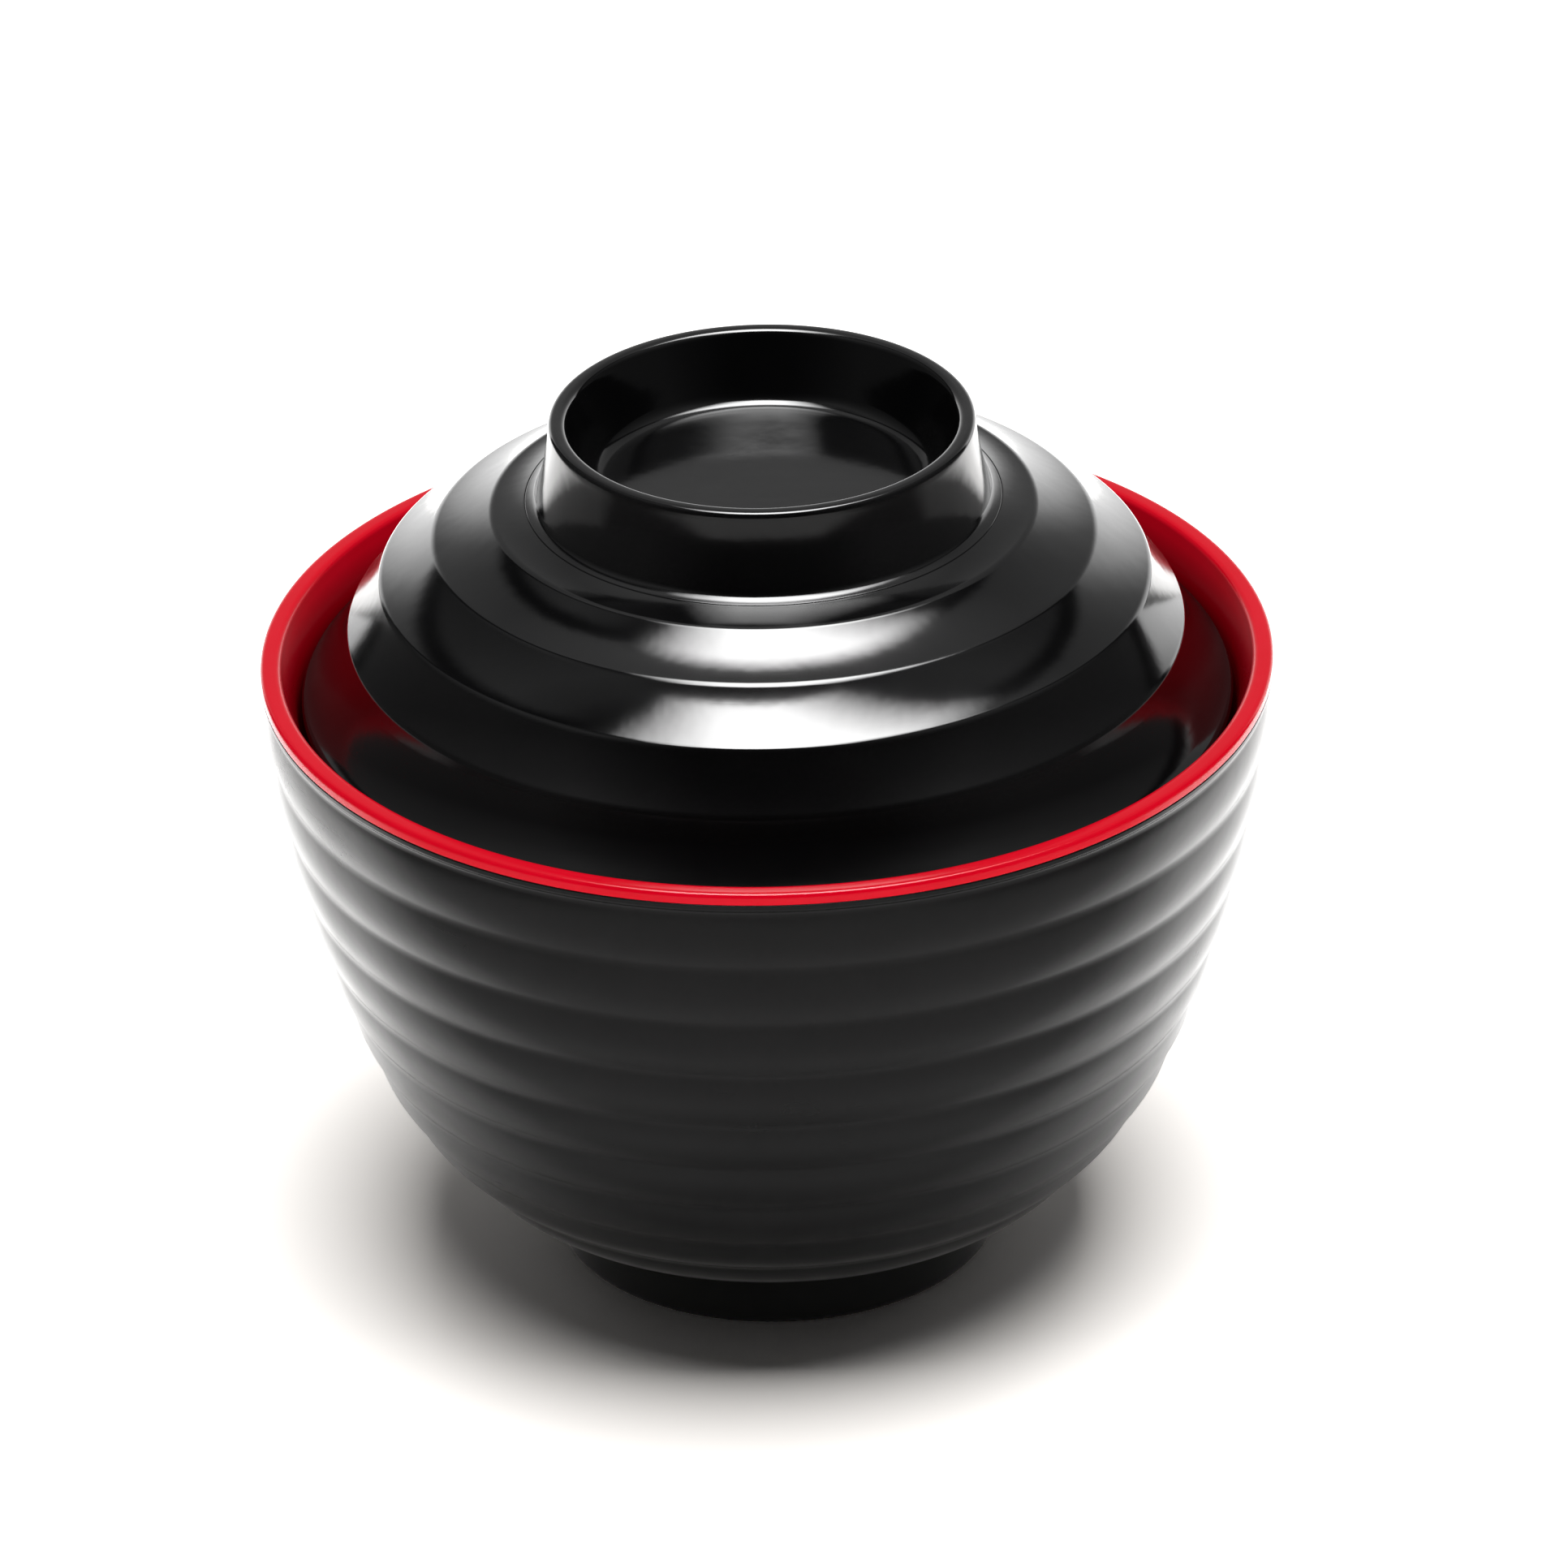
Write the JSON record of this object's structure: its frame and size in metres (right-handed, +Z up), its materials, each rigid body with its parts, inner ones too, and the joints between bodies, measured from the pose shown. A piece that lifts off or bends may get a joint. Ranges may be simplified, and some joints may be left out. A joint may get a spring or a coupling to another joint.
{
  "type": "lidded rice bowl",
  "caption": "Round two-tone bowl with a ribbed side, a foot ring and a nested stepped lid whose ring knob also serves as its foot when turned over.",
  "frame": {"origin": "centre of the foot ring, on the surface the bowl stands on", "axes": "+Z up along the axis that all four pieces are turned about; X and Y are alike"},
  "size_m": [0.115, 0.115, 0.1036],
  "materials": {
    "black_melamine": "polished moulded melamine",
    "red_melamine": "polished moulded melamine"
  },
  "bodies": {
    "bowl": {"bowl_shell": "black_melamine", "bowl_liner": "red_melamine"},
    "lid": {"lid_shell": "black_melamine", "lid_liner": "red_melamine"}
  },
  "joints": [
    {"name": "lid_lift", "type": "slide", "parent": "bowl", "child": "lid", "axis": [0, 0, 1], "range_m": [0, 0.08]}
  ]
}
